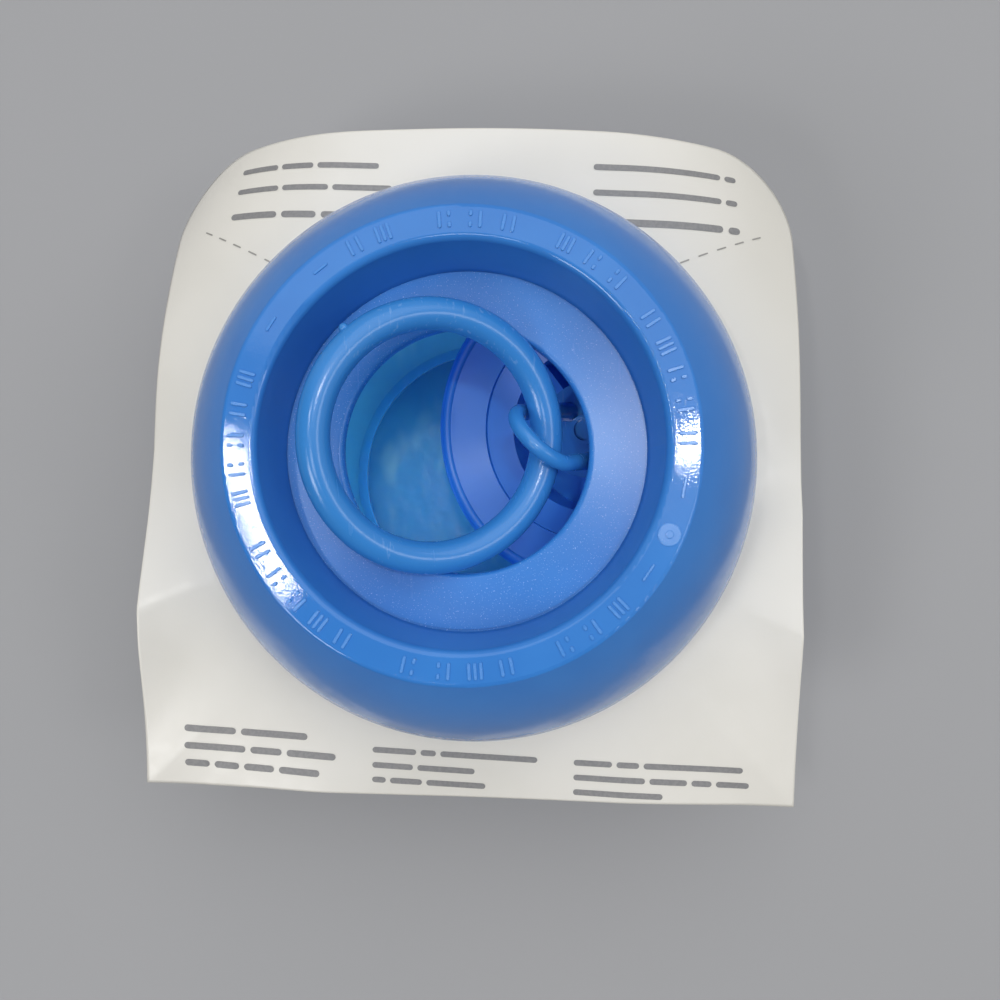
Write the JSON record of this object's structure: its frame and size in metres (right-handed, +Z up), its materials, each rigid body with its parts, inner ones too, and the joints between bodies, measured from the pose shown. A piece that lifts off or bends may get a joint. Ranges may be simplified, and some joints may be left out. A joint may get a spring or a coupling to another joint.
{
  "type": "fabric softener ball",
  "caption": "Hollow plastic ball with a recessed mouth, a weighted stopper that hangs from a pull ring, and a display card round its equator.",
  "frame": {"origin": "centre of the flat foot that the ball stands on", "axes": "+Z up along the axis of the ball through its mouth, +Y towards the arched top edge of the card, +X to the right of the card as its face is read"},
  "size_m": [0.1224, 0.125, 0.0803],
  "materials": {
    "shell": "semi-gloss moulded polypropylene with a fine texture on the rim",
    "bowl": "semi-gloss moulded polypropylene, slightly translucent",
    "seat": "matt, finely sparkling",
    "stopper": "smooth soft polyethylene",
    "weight": "turned steel slug, sealed inside",
    "ring": "glossy moulded polyethylene with scuffs",
    "card": "coated cream card"
  },
  "bodies": {
    "ball": {"upper_shell": "shell", "lower_bowl": "bowl", "valve_seat": "seat", "card": "card"},
    "stopper_body": {"stopper": "stopper", "stopper_weight": "weight", "stopper_cap": "stopper", "eye": "ring"},
    "ring_body": {"pull_ring": "ring"}
  },
  "joints": [
    {"name": "stopper_lift", "type": "hinge", "parent": "ball", "child": "stopper_body", "pos_m": [0.03631, 0.00973, 0.0957], "axis": [-0.2588, 0.9659, 0], "range_deg": [0, 26]},
    {"name": "ring_lift", "type": "hinge", "parent": "stopper_body", "child": "ring_body", "pos_m": [0.01293, 0.00177, 0.0619], "axis": [0.0408, 0.9932, 0.1094], "range_deg": [0, 39]}
  ],
  "couplings": [
    {"joint": "ring_lift", "follows": "stopper_lift", "ratio": 1.5}
  ]
}
